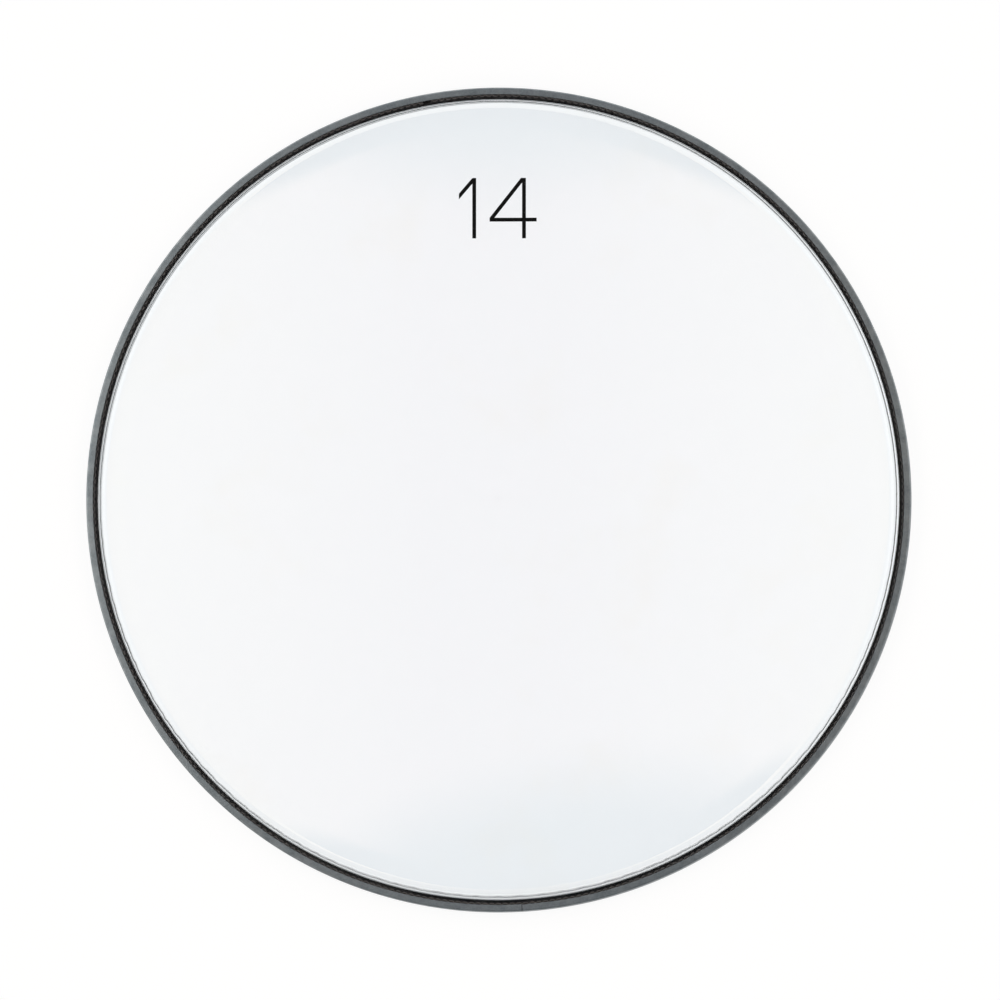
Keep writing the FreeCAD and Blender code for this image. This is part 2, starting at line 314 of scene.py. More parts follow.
# Turns what the trees made into the piece's plain mesh, with smooth faces that point outwards.
# With evenFlats, the flat faces beside round edges are shaded flat.
def settle(piece, finish, evenFlats=False):
    mesh = freeze(piece)
    shape = bmesh.new()
    shape.from_mesh(mesh)
    bmesh.ops.recalc_face_normals(shape, faces=shape.faces)
    shape.to_mesh(mesh)
    shape.free()
    mesh.shade_smooth()
    for face in mesh.polygons:
        if isEndFace(face):
            for loop in face.loop_indices:
                mesh.edges[mesh.loops[loop].edge_index].use_edge_sharp = True
    if evenFlats:
        piece.modifiers.new("evenFlats", "WEIGHTED_NORMAL").keep_sharp = True
        mesh = freeze(piece)
    if not mesh.materials:
        mesh.materials.append(finish)
    print(piece.name, len(mesh.vertices), "points,", len(mesh.polygons), "faces")


# Where a ring with an end gap begins and how far it goes round. The gap is in mm, its middle in degrees.
def gapSweep(gap, middle, radius):
    halfGap = gap * mm / radius / 2
    return math.radians(middle) + halfGap, math.tau - 2 * halfGap


def dress(piece, slot, *nodes):
    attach(piece, "root")
    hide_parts(*nodes)


# Effects that several finishes share

# Fine lines along the rolling direction, round the head's axis.
def makeRollGrain():
    inputs = [("Vector", "Vector", None), ("Lines Per Metre", "Float", 9000.0), ("Turns", "Float", 6.0)]
    tree, given, out = newTree("rollGrain", "ShaderNodeTree", inputs, [("Grain", "Float")])
    axes = addNode(tree, "ShaderNodeSeparateXYZ", {0: given["Vector"]}).outputs
    level = vectorNode(tree, "MULTIPLY", {0: given["Vector"], 1: levelAxes})
    radius = vectorNode(tree, "LENGTH", {0: level}, "Value")
    outward = vectorNode(tree, "NORMALIZE", {0: level})
    around = vectorNode(tree, "SCALE", {0: outward, "Scale": given["Turns"]})
    across = mathNode(tree, "MULTIPLY", mathNode(tree, "ADD", radius, axes["Z"]), given["Lines Per Metre"])
    step = addNode(tree, "ShaderNodeCombineXYZ", {"Z": across}).outputs[0]
    place = vectorNode(tree, "ADD", {0: around, 1: step})
    noise = addNode(tree, "ShaderNodeTexNoise",
                    {"Vector": place, "Scale": 1.0, "Detail": 3.0, "Roughness": 0.6})
    tree.links.new(noise.outputs[0], out["Grain"])
    return tree


# Broad uneven patches, as of handling or of uneven colour.
def makePatches():
    inputs = [("Vector", "Vector", None), ("Scale", "Float", 60.0), ("Low", "Float", 0.4),
              ("High", "Float", 0.7)]
    tree, given, out = newTree("patches", "ShaderNodeTree", inputs, [("Patch", "Float")])
    noise = addNode(tree, "ShaderNodeTexNoise",
                    {"Vector": given["Vector"], "Scale": given["Scale"], "Detail": 4.0, "Roughness": 0.55})
    patch = mapRange(tree, noise.outputs[0], given["Low"], given["High"], smooth=True)
    tree.links.new(patch, out["Patch"])
    return tree


# Grains of dust: a round spot in a few of the cells of a net.
def makeDust():
    inputs = [("Vector", "Vector", None), ("Cells Per Metre", "Float", 300.0), ("Size", "Float", 0.1),
              ("Least Size", "Float", 0.4), ("Core", "Float", 0.5), ("Share", "Float", 0.05)]
    tree, given, out = newTree("dust", "ShaderNodeTree", inputs, [("Specks", "Float")])
    cells = addNode(tree, "ShaderNodeTexVoronoi",
                    {"Vector": given["Vector"], "Scale": given["Cells Per Metre"]})
    draw = addNode(tree, "ShaderNodeSeparateColor", {0: cells.outputs["Color"]}).outputs
    chosen = mathNode(tree, "LESS_THAN", draw[0], given["Share"])
    reach = mathNode(tree, "MULTIPLY", given["Size"], mathNode(tree, "ADD", draw[1], given["Least Size"]))
    spot = mapRange(tree, cells.outputs["Distance"], reach, mathNode(tree, "MULTIPLY", reach, given["Core"]))
    tree.links.new(mathNode(tree, "MULTIPLY", spot, chosen), out["Specks"])
    return tree


# Rubbed edges: the piece's rim mark, broken up along its way.
def makeRubbedEdge():
    inputs = [("Vector", "Vector", None), ("Rim", "Float", 0.0), ("Scale", "Float", 180.0),
              ("Low", "Float", 0.35), ("High", "Float", 0.65), ("Least Rub", "Float", 0.35)]
    tree, given, out = newTree("rubbedEdge", "ShaderNodeTree", inputs, [("Rub", "Float")])
    noise = addNode(tree, "ShaderNodeTexNoise",
                    {"Vector": given["Vector"], "Scale": given["Scale"], "Detail": 3.0})
    broken = mapRange(tree, noise.outputs[0], given["Low"], given["High"], given["Least Rub"], 1.0)
    tree.links.new(mathNode(tree, "MULTIPLY", broken, given["Rim"]), out["Rub"])
    return tree


rollGrain = makeRollGrain()
patches = makePatches()
dust = makeDust()
rubbedEdge = makeRubbedEdge()


def newFinish(name):
    finish = bpy.data.materials.new(name)
    finish.use_nodes = True
    tree = finish.node_tree
    tree.nodes.clear()
    output = addNode(tree, "ShaderNodeOutputMaterial")
    shader = addNode(tree, "ShaderNodeBsdfPrincipled")
    tree.links.new(shader.outputs[0], output.inputs["Surface"])
    place = addNode(tree, "ShaderNodeTexCoord").outputs["Object"]
    return finish, tree, shader, place


def useGroup(tree, group, links):
    return addNode(tree, "ShaderNodeGroup", links, node_tree=group).outputs[0]


def mixColour(tree, share, first, second):
    links = {"Factor": share, 6: first, 7: second}
    return addNode(tree, "ShaderNodeMix", links, data_type="RGBA").outputs[2]


def bumpNode(tree, height, strength, distance):
    links = {"Height": height, "Strength": strength, "Distance": distance}
    return addNode(tree, "ShaderNodeBump", links).outputs[0]


def pieceMark(tree, name):
    return addNode(tree, "ShaderNodeAttribute", attribute_name=name).outputs["Fac"]


# Shows the first shader where the share is 0 and the second where it is 1.
def showBoth(tree, share, first, second):
    both = addNode(tree, "ShaderNodeMixShader", {0: share, 1: first.outputs[0], 2: second.outputs[0]})
    output = next(node for node in tree.nodes if node.type == "OUTPUT_MATERIAL")
    tree.links.new(both.outputs[0], output.inputs["Surface"])


# Finishes

grainSpan = (0.3, 0.7)  # most of the grain's values lie here

resinFinish = {"dark": (0.006, 0.006, 0.0065, 1), "light": (0.028, 0.028, 0.029, 1), "roughness": (0.3, 0.55),
               "dust": (0.3, 0.3, 0.29, 1), "dustShare": 0.3, "bump": (0.3, 0.0001)}

hoopFinish = {"dark": (0.071, 0.086, 0.0935, 1), "light": (0.138, 0.164, 0.177, 1),
              "rubbed": (0.32, 0.34, 0.345, 1), "bare": (0.3, 0.31, 0.315, 1), "roughness": (0.38, 0.5),
              "linesPerMetre": 7000.0, "gritPerMetre": 1500.0}

spliceFinish = {"dark": (0.45, 0.46, 0.47, 1), "light": (0.62, 0.63, 0.64, 1), "rubbed": (0.7, 0.7, 0.7, 1),
                "bare": (0.7, 0.7, 0.7, 1), "roughness": (0.25, 0.4), "linesPerMetre": 5000.0,
                "gritPerMetre": 3000.0}

# How much each effect counts, on both metals
metalTone = {"grain": 0.4, "patch": 0.25, "grit": 0.55, "rub": 0.5, "rubShine": -0.08, "resinDull": 0.4,
             "patchesPerMetre": 110.0, "bump": (0.25, 0.00003)}


def makeHoopMetal(name, colours):
    finish, tree, shader, place = newFinish(name)
    grain = useGroup(tree, rollGrain, {"Vector": place, "Lines Per Metre": colours["linesPerMetre"]})
    patch = useGroup(tree, patches, {"Vector": place, "Scale": metalTone["patchesPerMetre"]})
    rub = useGroup(tree, rubbedEdge, {"Vector": place, "Rim": pieceMark(tree, "rim")})
    grit = useGroup(tree, patches, {"Vector": place, "Scale": colours["gritPerMetre"], "Low": grainSpan[0],
                                    "High": grainSpan[1]})
    tone = mathNode(tree, "MULTIPLY", grain, metalTone["grain"])
    tone = mathNode(tree, "MULTIPLY_ADD", patch, metalTone["patch"], tone)
    tone = mathNode(tree, "MULTIPLY_ADD", grit, metalTone["grit"], tone, clamp=True)
    metal = mixColour(tree, tone, colours["dark"], colours["light"])
    worn = mixColour(tree, mathNode(tree, "MULTIPLY", rub, metalTone["rub"]), metal, colours["rubbed"])
    endFace = pieceMark(tree, "endFace")
    edged = mixColour(tree, pieceMark(tree, "bare"), worn, colours["bare"])  # the sheared edge of the strip
    tree.links.new(mixColour(tree, endFace, edged, resinFinish["dark"]), shader.inputs["Base Color"])
    tree.links.new(mathNode(tree, "SUBTRACT", 1.0, endFace), shader.inputs["Metallic"])
    dull = mapRange(tree, grain, *grainSpan, *colours["roughness"])
    dull = mathNode(tree, "MULTIPLY_ADD", rub, metalTone["rubShine"], dull)
    dull = mathNode(tree, "MULTIPLY_ADD", endFace, metalTone["resinDull"], dull)
    tree.links.new(dull, shader.inputs["Roughness"])
    tree.links.new(bumpNode(tree, grain, *metalTone["bump"]), shader.inputs["Normal"])
    return finish


def makeResin():
    finish, tree, shader, place = newFinish("blackResin")
    patch = useGroup(tree, patches, {"Vector": place, "Scale": 260.0})
    specks = useGroup(tree, dust, {"Vector": place, "Cells Per Metre": 900.0, "Size": 0.22, "Share": 0.08})
    black = mixColour(tree, patch, resinFinish["dark"], resinFinish["light"])
    shown = mathNode(tree, "MULTIPLY", specks, resinFinish["dustShare"])
    dusty = mixColour(tree, shown, black, resinFinish["dust"])
    tree.links.new(dusty, shader.inputs["Base Color"])
    tree.links.new(mapRange(tree, patch, 0.0, 1.0, *resinFinish["roughness"]), shader.inputs["Roughness"])
    tree.links.new(bumpNode(tree, patch, *resinFinish["bump"]), shader.inputs["Normal"])
    return finish


# The tip colour is a painted highlight: the tooth tips near the ring's top are made lighter, as if light
# caught on them, and the rest of the ring stays black.
ringFinish = {"dark": (0.004, 0.004, 0.0042, 1), "light": (0.01, 0.01, 0.01, 1), "roughness": (0.35, 0.5),
              "rubbed": (0.07, 0.066, 0.063, 1), "rubShare": 0.55, "tip": (0.085, 0.079, 0.076, 1),
              "highlightDrop": 0.0004, "highlightSpan": (0.78, 0.97), "dust": (0.35, 0.35, 0.34, 1), "dustShare": 0.35,
              "shine": 0.35, "bump": (0.2, 0.00003)}


def makeRingPlastic():
    finish, tree, shader, place = newFinish("blackRing")
    grain = useGroup(tree, rollGrain, {"Vector": place, "Lines Per Metre": 4000.0, "Turns": 20.0})
    rub = useGroup(tree, rubbedEdge, {"Vector": place, "Rim": pieceMark(tree, "rim"), "Scale": 260.0})
    specks = useGroup(tree, dust, {"Vector": place, "Cells Per Metre": 1100.0, "Size": 0.25, "Share": 0.06})
    black = mixColour(tree, grain, ringFinish["dark"], ringFinish["light"])
    # Painted highlight: the colour turns to the lighter tip colour on the tooth tips, only within a small
    # drop below the ring's top.
    tooth = mapRange(tree, pieceMark(tree, "toothSide"), *ringFinish["highlightSpan"], smooth=True)
    height = addNode(tree, "ShaderNodeSeparateXYZ", {0: place}).outputs["Z"]
    highlightTop = mapRange(tree, height, ringHigh.z - ringFinish["highlightDrop"], ringHigh.z)
    highlightedTips = mixColour(tree, mathNode(tree, "MULTIPLY", tooth, highlightTop), black, ringFinish["tip"])
    rubbed = mathNode(tree, "MULTIPLY", rub, ringFinish["rubShare"])
    worn = mixColour(tree, rubbed, highlightedTips, ringFinish["rubbed"])
    shown = mathNode(tree, "MULTIPLY", specks, ringFinish["dustShare"])
    tree.links.new(mixColour(tree, shown, worn, ringFinish["dust"]), shader.inputs["Base Color"])
    tree.links.new(mapRange(tree, grain, *grainSpan, *ringFinish["roughness"]), shader.inputs["Roughness"])
    shader.inputs["Specular IOR Level"].default_value = ringFinish["shine"]
    tree.links.new(bumpNode(tree, grain, *ringFinish["bump"]), shader.inputs["Normal"])
    return finish


filmFinish = {"clear": (0.884, 0.91, 0.926, 1), "smudged": (0.878, 0.898, 0.9, 1), "ior": 1.57,
              "roughness": (0.012, 0.05), "speck": (0.3, 0.3, 0.28, 1), "speckShare": 0.6,
              "haze": (0.06, 0.36), "hazeSide": (-0.08, -0.17), "shade": (0.93, 0.95, 0.96, 1)}


def makeClearFilm():
    finish, tree, shader, place = newFinish("clearFilm")
    smudge = useGroup(tree, patches, {"Vector": place, "Scale": 22.0, "Low": 0.54, "High": 0.8})
    specks = useGroup(tree, dust, {"Vector": place, "Cells Per Metre": 45.0, "Size": 0.018, "Share": 0.05})
    clear = mixColour(tree, smudge, filmFinish["clear"], filmFinish["smudged"])
    shown = mathNode(tree, "MULTIPLY", specks, filmFinish["speckShare"])
    tree.links.new(mixColour(tree, shown, clear, filmFinish["speck"]), shader.inputs["Base Color"])
    along = addNode(tree, "ShaderNodeSeparateXYZ", {0: place}).outputs["Y"]
    haze = mapRange(tree, along, *filmFinish["hazeSide"], *filmFinish["haze"])
    haze = mathNode(tree, "MULTIPLY", pieceMark(tree, "formed"), haze)  # hazy where it was heated and formed
    dull = mapRange(tree, smudge, 0.0, 1.0, *filmFinish["roughness"])
    tree.links.new(mathNode(tree, "ADD", dull, haze), shader.inputs["Roughness"])
    shader.inputs["IOR"].default_value = filmFinish["ior"]
    shader.inputs["Transmission Weight"].default_value = 1.0
    letThrough = addNode(tree, "ShaderNodeBsdfTransparent", {"Color": filmFinish["shade"]})
    showBoth(tree, addNode(tree, "ShaderNodeLightPath").outputs["Is Shadow Ray"], shader, letThrough)
    return finish


inkFinish = {"dark": (0.004, 0.004, 0.004, 1), "light": (0.012, 0.012, 0.012, 1), "roughness": (0.5, 0.7),
             "shine": 0.05}


def makeInk():
    finish, tree, shader, place = newFinish("blackInk")
    patch = useGroup(tree, patches, {"Vector": place, "Scale": 900.0})
    tree.links.new(mixColour(tree, patch, inkFinish["dark"], inkFinish["light"]), shader.inputs["Base Color"])
    tree.links.new(mapRange(tree, patch, 0.0, 1.0, *inkFinish["roughness"]), shader.inputs["Roughness"])
    shader.inputs["Specular IOR Level"].default_value = inkFinish["shine"]
    return finish


hoopMetal = makeHoopMetal("hoopMetal", hoopFinish)
spliceMetal = makeHoopMetal("spliceMetal", spliceFinish)
blackResin = makeResin()
blackRing = makeRingPlastic()
clearFilm = makeClearFilm()
blackInk = makeInk()
print("finishes ready")


# Hoop channel

# Lengths are in mm and angles in degrees, here and in the other pieces.
hoop = {"innerWall": 0.5, "innerWallHeight": 8.4, "grooveWidth": 3.7, "grooveMouth": 2.15, "lip": 1.1,
        "floor": 1.3, "cornerBend": 0.6, "edgeBend": 0.2, "insideBend": 0.15, "bendSteps": 5,
        "steps": 900, "seamAngle": 273.3, "seamGap": 0.35, "seamDepth": 0.8, "burr": 0.14, "burrLean": 3.0,
        "notch": 0.22, "notchLength": 3.6}
seamTolerance = 1e-5  # radians


# The ends meet below the lip, so the seam is open only at the top. One end has a burr, the other a notch, and
# the end faces are dark with resin.
def finishSeam(mesh, lipEdge, lipUnder):
    endFace = mesh.attributes.new("endFace", "FLOAT", "FACE")
    endFace.data.foreach_set("value", [float(isEndFace(face)) for face in mesh.polygons])
    seam = math.radians(hoop["seamAngle"])
    halfGap = hoop["seamGap"] * mm / hoopRadius / 2
    for point in mesh.vertices:
        place = point.co
        radius = math.hypot(place.x, place.y)
        fromSeam = math.remainder(math.atan2(place.y, place.x) - seam, math.tau)
        atLipEdge = place.z > lipUnder and radius < lipEdge + 2 * hoop["edgeBend"] * mm
        alongSeam = fromSeam * radius / mm
        if abs(abs(fromSeam) - halfGap) < seamTolerance:
            isWall = radius < lipEdge - hoop["edgeBend"] * mm
            if isWall or place.z < lipUnder - hoop["seamDepth"] * mm / 2:
                fromSeam = 0.0
            if atLipEdge and fromSeam < 0:
                radius -= hoop["burr"] * mm
                place.z += hoop["burr"] * mm / hoop["burrLean"]
        if atLipEdge and 0 < alongSeam < hoop["notchLength"]:
            radius += hoop["notch"] * mm * (1 - alongSeam / hoop["notchLength"])
        place.x = radius * math.cos(seam + fromSeam)
        place.y = radius * math.sin(seam + fromSeam)


def makeHoop():
    bore = boreRadius / mm
    outside = hoopRadius / mm
    top = hoopTop / mm
    grooveIn = bore + hoop["innerWall"]
    grooveOut = grooveIn + hoop["grooveWidth"]
    lipEdge = grooveIn + hoop["grooveMouth"]
    lipUnder = top - hoop["lip"]
    corner, edge, inside = hoop["cornerBend"], hoop["edgeBend"], hoop["insideBend"]
    seamFoot = lipUnder - hoop["seamDepth"]
    corners = [(bore, 0, edge), (outside, 0, corner), (outside, seamFoot, 0), (outside, top, corner),
               (lipEdge, top, edge), (lipEdge, lipUnder, inside), (grooveOut, lipUnder, inside),
               (grooveOut, seamFoot, 0), (grooveOut, hoop["floor"], inside),
               (grooveIn, hoop["floor"], inside), (grooveIn, hoop["innerWallHeight"], edge),
               (bore, hoop["innerWallHeight"], edge)]
    corners = [(r * mm, z * mm, bend * mm, hoop["bendSteps"]) for r, z, bend in corners]
    points = roundCorners(corners, True)
    wallTop = (hoop["innerWallHeight"] - edge) * mm

    def isWallEdge(point):
        return wallTop <= point.y < lipUnder * mm and point.x < (grooveIn + edge) * mm

    piece = sectionObject("hoop", points, True, hoopRadius, bare=isWallEdge)
    start, sweep = gapSweep(hoop["seamGap"], hoop["seamAngle"], hoopRadius)
    runTree(piece, roundSweep, {"Path Radius": hoopRadius, "Steps": hoop["steps"], "Full Turn": False,
                                "Start Angle": start, "Sweep Angle": sweep, "Finish": hoopMetal})
    settle(piece, hoopMetal, evenFlats=True)
    finishSeam(piece.data, lipEdge * mm, lipUnder * mm)
    dress(piece, "hoop_metal", "hoop_channel")
    return piece


hoopPiece = makeHoop()


# Drum film

film = {"thickness": 0.25, "creaseRadius": 177.8, "neckRadius": 177.9, "neckHeight": 9.8,
        "skirtRadius": 179.2, "rootHeight": 8.9, "creaseBend": 4.2, "neckBend": 0.8, "rootBend": 0.5,
        "footBend": 0.4, "bendSteps": (0, 12, 6, 5, 5, 0), "steps": 940,
        "flatRings": (40.0, 80.0, 120.0, 150.0, 165.0), "collarRings": 4, "puckerHeight": 12.5,
        "puckerReach": 3.5, "puckerDepth": 0.16, "puckerSide": 268.0, "puckerLeast": 0.1, "hazeDrop": 2.0}


def makeFilm():
    thick = film["thickness"]
    top = filmTop / mm
    footTop = bedTop / mm + thick
    corners = [(0.0, top), (film["creaseRadius"], top), (film["neckRadius"], film["neckHeight"]),
               (film["skirtRadius"], film["rootHeight"]), (film["skirtRadius"], footTop),
               (footRadius / mm, footTop)]
    under = offsetCorners(corners, thick)
    crease, neck, root, foot = (film[bend] for bend in ("creaseBend", "neckBend", "rootBend", "footBend"))
    upperBends = (0, crease + thick, neck, root + thick, foot, 0)
    underBends = (0, crease, neck + thick, root, foot + thick, 0)

    def sideLine(places, bends):
        spots = zip(places, bends, film["bendSteps"])
        line = roundCorners([(r * mm, z * mm, bend * mm, steps) for (r, z), bend, steps in spots], False)
        rings = [(Vector((radius * mm, line[0][0].y)), 0.0) for radius in film["flatRings"]]
        split = film["bendSteps"][1] + 2
        collarStart, collarEnd = line[split - 1][0], line[split][0]
        shares = [(index + 1) / (film["collarRings"] + 1) for index in range(film["collarRings"])]
        collar = [(collarStart.lerp(collarEnd, share), 0.0) for share in shares]
        return line[:1] + rings + line[1:split] + collar + line[split:]

    points = sideLine(corners, upperBends) + list(reversed(sideLine(under, underBends)))
    pathRadius = film["skirtRadius"] * mm
    low, high = film["rootHeight"] * mm, filmTop - film["hazeDrop"] * mm
    piece = sectionObject("film", points, False, pathRadius, formed=lambda point: low < point.y < high)
    runTree(piece, roundSweep, {"Path Radius": pathRadius, "Steps": film["steps"], "Full Turn": True,
                                "Finish": clearFilm})
    runTree(piece, rootPucker, {"Middle Height": film["puckerHeight"] * mm, "Reach": film["puckerReach"] * mm,
                                "Depth": film["puckerDepth"] * mm, "Least Share": film["puckerLeast"],
                                "Strong Side": math.radians(film["puckerSide"]), "Finish": clearFilm})
    settle(piece, clearFilm)
    dress(piece, "clear_film", "drum_film")


makeFilm()


# Lock ring

ring = {"tipRadius": 180.0, "teeth": 376, "stepsPerTooth": 8, "tipSteps": 4, "depth": 0.6, "tipRounding": 0.1,
        "edgeBend": 0.15, "bendSteps": 2, "endGap": 3.6, "endAngle": 100.2}


def makeLockRing():
    tip = ring["tipRadius"] * mm
    edge = ring["edgeBend"] * mm
    places = [(tip, ringLow.z), (ringHigh.x, ringLow.z), (ringHigh.x, ringHigh.z), (tip, ringHigh.z)]
    points = roundCorners([(r, z, edge, ring["bendSteps"]) for r, z in places], True)
    piece = sectionObject("lockRing", points, True, tip, toothSide=lambda point: point.x < tip + 2 * edge)
    start, sweep = gapSweep(ring["endGap"], ring["endAngle"], tip)
    runTree(piece, roundSweep, {"Path Radius": tip, "Steps": ring["teeth"] * ring["stepsPerTooth"],
                                "Full Turn": False, "Start Angle": start, "Sweep Angle": sweep,
                                "Finish": blackRing})
    runTree(piece, toothCut, {"Steps Per Tooth": ring["stepsPerTooth"], "Tip Steps": ring["tipSteps"],
                              "Depth": ring["depth"] * mm, "Tip Rounding": ring["tipRounding"] * mm,
                              "Finish": blackRing})
    settle(piece, blackRing)
    dress(piece, "black_ring", "lock_ring")
    return piece


ringPiece = makeLockRing()


# Sealing bead

bead = {"clearBend": 0.4, "hollow": 0.35, "hollowSteps": 6, "steps": 3008, "ripple": 0.5,
        "gapClearance": 0.03, "gapClimb": 0.4}


# The resin fills the gaps between the ring's teeth, follows their sides and climbs a little in them.
def fillToothGaps(mesh, low, outer):
    start, sweep = gapSweep(ring["endGap"], ring["endAngle"], outer)
    step = sweep / (ring["teeth"] * ring["stepsPerTooth"] - 1)
    room = ring["depth"] - bead["gapClearance"]
    for point in mesh.vertices:
        place = point.co
        radius = math.hypot(place.x, place.y)
        along = (math.atan2(place.y, place.x) - start) % math.tau
        if radius < outer - bead["gapClearance"] * mm or along > sweep:
            continue
        phase = along / step % ring["stepsPerTooth"]
        inGap = min(phase - ring["tipSteps"], ring["stepsPerTooth"] - phase)  # in steps from the nearer tooth
        push = room * min(max(inGap, 0.0), 1.0)
        climb = bead["gapClimb"] * push / room if place.z > low + bead["clearBend"] * mm else 0.0
        grow = 1 + push * mm / radius
        point.co = (place.x * grow, place.y * grow, place.z + climb * mm)


def makeBead():
    inner, outer = film["skirtRadius"] * mm, ring["tipRadius"] * mm
    low, high = beadLow.z, beadHigh.z
    clear = bead["clearBend"] * mm
    places = [(inner + clear, low), (outer, low), (outer, high)]
    for step in range(1, bead["hollowSteps"]):  # the top sags between the film and the ring
        share = step / bead["hollowSteps"]
        dip = bead["hollow"] * mm * math.sin(math.pi * share)
        places.append((outer + (inner - outer) * share, high - dip))
    places += [(inner, high), (inner, low + clear)]
    points = [(Vector(place), 0.0) for place in places]
    piece = sectionObject("sealingBead", points, True, inner)
    runTree(piece, roundSweep, {"Path Radius": inner, "Steps": bead["steps"], "Full Turn": True,
                                "Finish": blackResin})
    runTree(piece, beadRipple, {"Depth": bead["ripple"] * mm, "Still Height": low + clear, "Top Height": high,
                                "Finish": blackResin})
    fillToothGaps(freeze(piece), low, outer)
    settle(piece, blackResin)
    dress(piece, "black_adhesive", "sealing_bead")
    return piece


beadPiece = makeBead()


# Printed size mark

sizeMark = {"centre": (0.0, 129.6), "height": 27.0, "stroke": 1.7, "gap": 6.0, "stemReach": 6.0,
            "stemDrop": 7.0, "flagStrokes": 1.5, "fourWidth": 21.0, "fourStem": 14.5, "fourBar": 7.5,
            "peakStrokes": 0.3, "ink": 0.01, "inkLift": 0.004}


# Outlines of a plain 1 and 4, the second with its closed counter.
def numeralOutlines():
    high, line = sizeMark["height"], sizeMark["stroke"]
    reach, drop = sizeMark["stemReach"], sizeMark["stemDrop"]
    flag = sizeMark["flagStrokes"] * line
    one = [(reach, 0), (reach + line, 0), (reach + line, high), (reach, high), (0, high - drop),
           (0, high - drop - flag), (reach, high - flag)]
    start = reach + line + sizeMark["gap"]
    stem, bar, wide = start + sizeMark["fourStem"], sizeMark["fourBar"], start + sizeMark["fourWidth"]
    peak = stem - sizeMark["peakStrokes"] * line
    four = [(stem, 0), (stem + line, 0), (stem + line, bar), (wide, bar), (wide, bar + line),
            (stem + line, bar + line), (stem + line, high), (peak, high), (start, bar + line), (start, bar),
            (stem, bar)]
    slope = (high - bar - line) / (peak - start)
    across = line * math.sqrt(1 + slope ** 2) / slope  # width of the slanting stroke along the bar
    counter = [(start + across, bar + line), (stem, bar + line),
               (stem, bar + line + (stem - start - across) * slope)]
    return wide, [one, four, counter]


def makeSizeMark():
    wide, outlines = numeralOutlines()
    lines = bpy.data.curves.new("sizeMark", "CURVE")
    lines.dimensions = "2D"
    lines.fill_mode = "BOTH"
    lines.extrude = sizeMark["ink"] * mm
    for outline in outlines:
        spline = lines.splines.new("POLY")
        spline.points.add(len(outline) - 1)
        for point, (x, y) in zip(spline.points, outline):
            point.co = ((x - wide / 2) * mm, (y - sizeMark["height"] / 2) * mm, 0, 1)
        spline.use_cyclic_u = True
    drawing = bpy.data.objects.new("sizeMarkLines", lines)
    bpy.context.scene.collection.objects.link(drawing)
    bpy.context.view_layer.update()
    mesh = bpy.data.meshes.new_from_object(drawing.evaluated_get(bpy.context.evaluated_depsgraph_get()))
    bpy.data.objects.remove(drawing)
    mesh.materials.clear()
    mesh.materials.append(blackInk)
    x, y = sizeMark["centre"]
    lift = filmTop + (sizeMark["ink"] + sizeMark["inkLift"]) * mm
    for point in mesh.vertices:
        point.co += Vector((x * mm, y * mm, lift))
    piece = bpy.data.objects.new("sizeMark", mesh)
    bpy.context.scene.collection.objects.link(piece)
    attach(piece, "root")
    print("sizeMark", len(mesh.polygons), "faces")


makeSizeMark()


# Pieces inside the channel

def dressNode(node, finish):
    shown = frame["nodes"][node]
    shown.data.materials.clear()
    shown.data.materials.append(finish)


dressNode("hoop_splice", spliceMetal)
dressNode("adhesive_bed", blackResin)


# Studio

# Lengths are in metres. A lamp has its place, size and power, a dim patch its centre and reach on the panel.
studio = {"floorHalf": 6.0, "floorDrop": 0.0002, "floorColour": (0.16, 0.16, 0.16, 1), "floorDull": 0.9,
          "floorGlow": 0.9, "worldAmbient": 0.45, "worldMiddle": 0.75, "worldLean": 0.6, "worldSides": 1.2,
          "horizonHeight": 0.15, "horizonLevel": 0.75, "panelHalf": 0.8, "panelHeight": 1.1,
          "panelCentre": (-0.044, 0.013), "panelMiddle": (0.94, 0.72, 0.78, 1),
          "panelSide": (1.41, 1.24, 1.09, 1), "panelSpan": (0.03, 0.21), "panelDim": (0.0, 0.15, 0.3, 1),
          "dimPatches": (((0.0, 0.56), (0.34, 0.38)), ((0.06, -0.42), (0.3, 0.36))), "dimCore": 0.86,
          "lamps": {"key": ((-0.45, 0.08, 0.6), (0.3, 0.6), 1.5),
                    "backStrip": ((0.0, 1.1, 0.9), (1.8, 0.25), 3.5)}}


def seenRays(tree):
    path = addNode(tree, "ShaderNodeLightPath").outputs
    seen = mathNode(tree, "ADD", path["Is Camera Ray"], path["Is Glossy Ray"])
    return mathNode(tree, "ADD", seen, path["Is Transmission Ray"], clamp=True)


def flatSquare(name, half, height, finish):
    mesh = bpy.data.meshes.new(name)
    places = [(-half, -half, height), (half, -half, height), (half, half, height), (-half, half, height)]
    mesh.from_pydata(places, [], [(0, 1, 2, 3)])
    mesh.materials.append(finish)
    square = bpy.data.objects.new(name, mesh)
    bpy.context.scene.collection.objects.link(square)
    return square


def makeFloor():
    finish, tree, shader, _ = newFinish("paleFloor")
    shader.inputs["Base Color"].default_value = studio["floorColour"]
    shader.inputs["Roughness"].default_value = studio["floorDull"]
    shader.inputs["Specular IOR Level"].default_value = 0.0
    shader.inputs["Emission Color"].default_value = (1, 1, 1, 1)
    glow = mathNode(tree, "MULTIPLY", seenRays(tree), studio["floorGlow"])
    tree.links.new(glow, shader.inputs["Emission Strength"])
    isUnder = addNode(tree, "ShaderNodeNewGeometry").outputs["Backfacing"]  # clear from below
    showBoth(tree, isUnder, shader, addNode(tree, "ShaderNodeBsdfTransparent"))
    flatSquare("floor", studio["floorHalf"], -studio["floorDrop"], finish)


